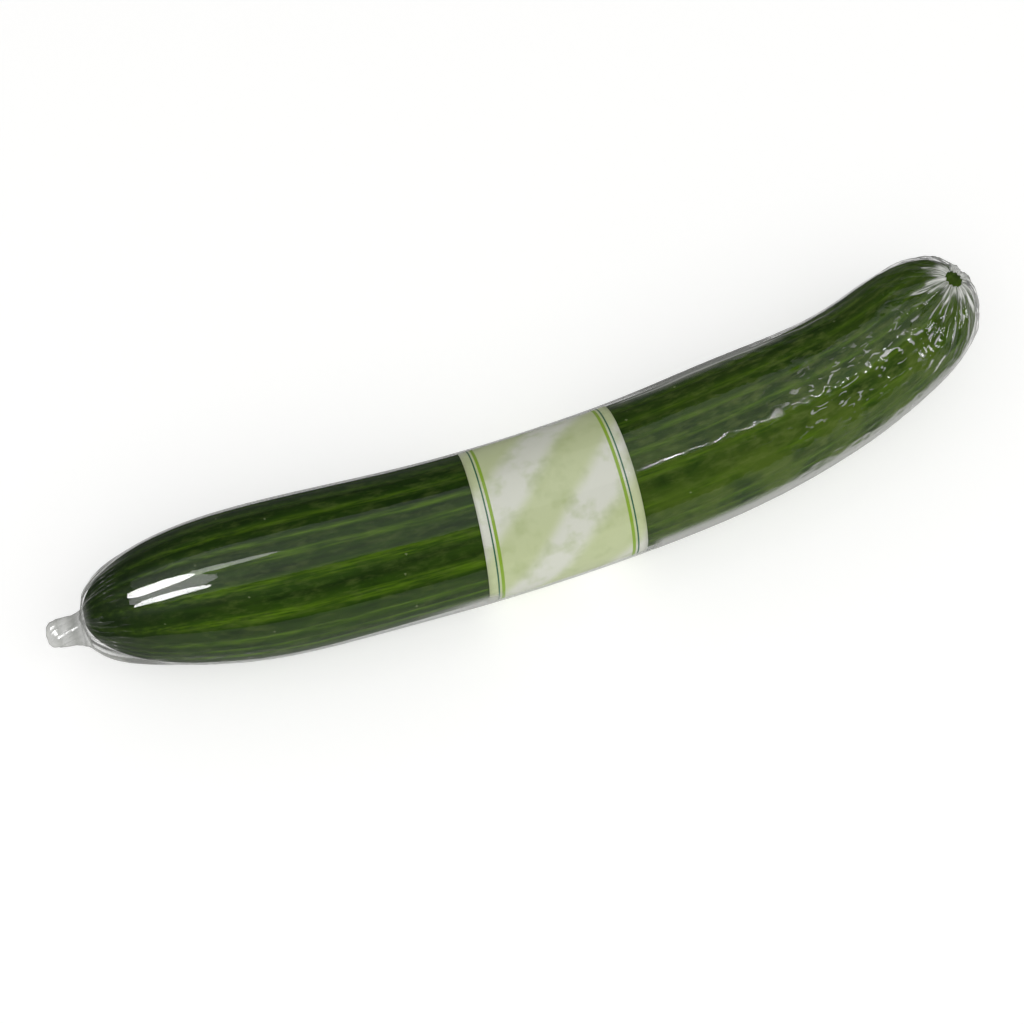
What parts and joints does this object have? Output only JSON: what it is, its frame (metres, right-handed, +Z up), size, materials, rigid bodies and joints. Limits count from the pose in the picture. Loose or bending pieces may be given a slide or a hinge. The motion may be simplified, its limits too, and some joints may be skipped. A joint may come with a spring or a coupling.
{
  "type": "wrapped snake cucumber",
  "caption": "Long, gently bent dark green cucumber lying on its side, in clear shrink film with a paper band round its middle; a grocery vegetable.",
  "frame": {"origin": "on the surface that it lies on, under the middle of its bounding box", "axes": "+X along the length towards the blossom end, +Y towards the hollow side of the bend, +Z up"},
  "size_m": [0.3129, 0.0591, 0.0486],
  "materials": {
    "cucumber_skin": "waxy ribbed vegetable skin, dark green with paler furrows",
    "band_paper": "coated printed paper, satin",
    "shrink_film": "clear glossy shrink film, whitish where it is gathered"
  },
  "bodies": {
    "root": {"cucumber": "cucumber_skin", "paper_band": "band_paper", "film_wrap": "shrink_film"}
  },
  "joints": []
}
